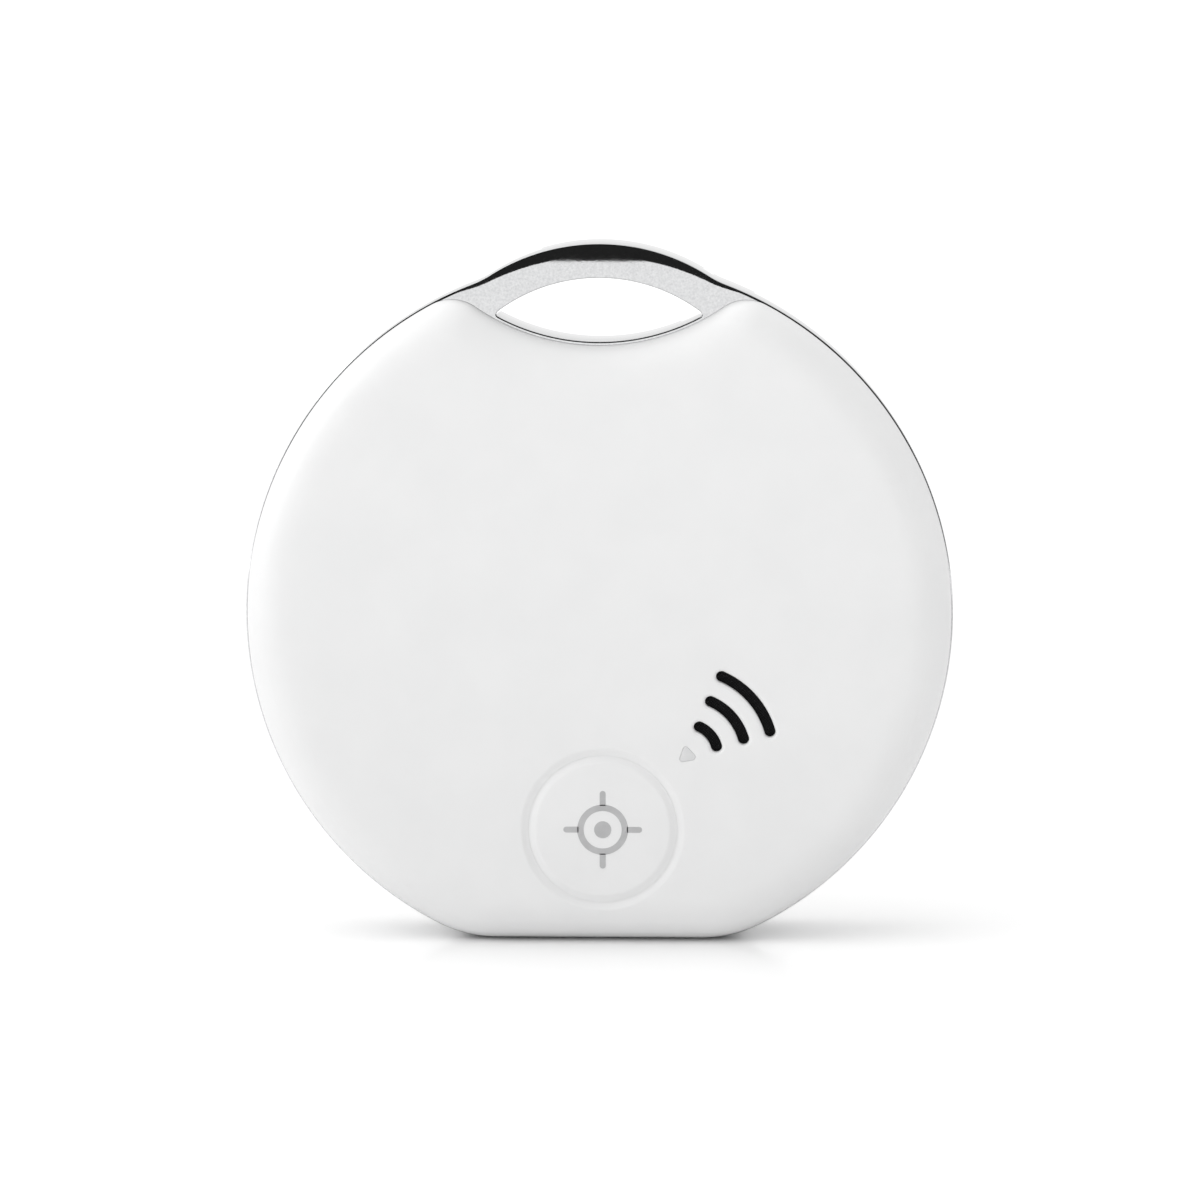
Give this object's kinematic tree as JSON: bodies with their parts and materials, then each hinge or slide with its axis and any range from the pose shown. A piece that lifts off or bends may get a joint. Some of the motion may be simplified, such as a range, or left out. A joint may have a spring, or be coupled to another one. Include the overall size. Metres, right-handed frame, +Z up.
{
  "type": "bluetooth tracker tag",
  "caption": "Round white tracker tag with a chromed middle frame, an arched key ring eye, a flat base, a round push button and curved sound slots beside a small light.",
  "frame": {"origin": "middle of the tag's width and depth, on the flat at its bottom that it stands on", "axes": "+X to the right of someone who looks at the face, +Y from the face towards the back, +Z up towards the key ring eye"},
  "size_m": [0.038, 0.0082, 0.0376],
  "materials": {
    "cover_white": "satin, very fine moulded grain",
    "chrome_plate": "polished plating",
    "guide_plastic": "milky, clear",
    "mesh_black": "fine woven mesh",
    "foam_black": "soft foam",
    "piezo_brass": "rolled sheet",
    "piezo_ceramic": "silvered ceramic",
    "contact_bronze": "gold plated spring bronze",
    "solder_mask": "green solder mask over glass laminate",
    "chip_black": "moulded epoxy",
    "part_steel": "pressed sheet",
    "plunger_plastic": "moulded",
    "led_plastic": "milky resin",
    "part_ceramic": "fired ceramic",
    "capacitor_tan": "fired ceramic with tinned ends",
    "tray_grey": "moulded, fine grain",
    "cell_steel": "nickel plated, bright",
    "seal_plastic": "translucent polypropylene",
    "cathode_black": "pressed powder",
    "lithium": "soft dull metal",
    "screw_steel": "zinc plated"
  },
  "bodies": {
    "case": {"chrome_frame": "chrome_plate", "front_cover": "cover_white", "light_guide": "guide_plastic", "slot_mesh": "mesh_black", "sounder_gasket": "foam_black", "piezo_plate": "piezo_brass", "piezo_ceramic": "piezo_ceramic", "spring_centre": "contact_bronze", "spring_rim": "contact_bronze", "circuit_board": "solder_mask", "switch_base": "chip_black", "switch_plate": "part_steel", "switch_dome": "part_steel", "status_led": "led_plastic", "radio_chip": "chip_black", "radio_crystal": "part_steel", "clock_crystal": "part_steel", "aerial": "part_ceramic", "inductor": "chip_black", "aerial_inductor": "part_ceramic", "capacitor_1": "capacitor_tan", "capacitor_2": "capacitor_tan", "capacitor_3": "capacitor_tan", "capacitor_4": "capacitor_tan", "led_resistor": "chip_black", "battery_tray": "tray_grey", "plus_contact": "contact_bronze", "minus_contact": "contact_bronze", "cell_can": "cell_steel", "cell_cap": "cell_steel", "cell_gasket": "seal_plastic", "cell_cathode": "cathode_black", "cell_anode": "lithium", "screw_1": "screw_steel", "screw_2": "screw_steel", "screw_3": "screw_steel", "screw_4": "screw_steel"},
    "button": {"button_cap": "cover_white"},
    "plunger": {"switch_plunger": "plunger_plastic"},
    "rear_cover": {"rear_cover": "cover_white", "battery_pad": "foam_black"}
  },
  "joints": [
    {"name": "button_press", "type": "slide", "parent": "case", "child": "button", "axis": [0, 1, 0], "range_m": [0, 0.0002], "stiffness_N_per_m": 6000},
    {"name": "switch_travel", "type": "slide", "parent": "case", "child": "plunger", "axis": [0, 1, 0], "range_m": [0, 0.0002], "deforming": ["switch_dome"]},
    {"name": "rear_cover_lift", "type": "slide", "parent": "case", "child": "rear_cover", "axis": [0, 1, 0], "range_m": [0, 0.015]}
  ],
  "couplings": [
    {"joint": "switch_travel", "follows": "button_press", "ratio": 1}
  ]
}
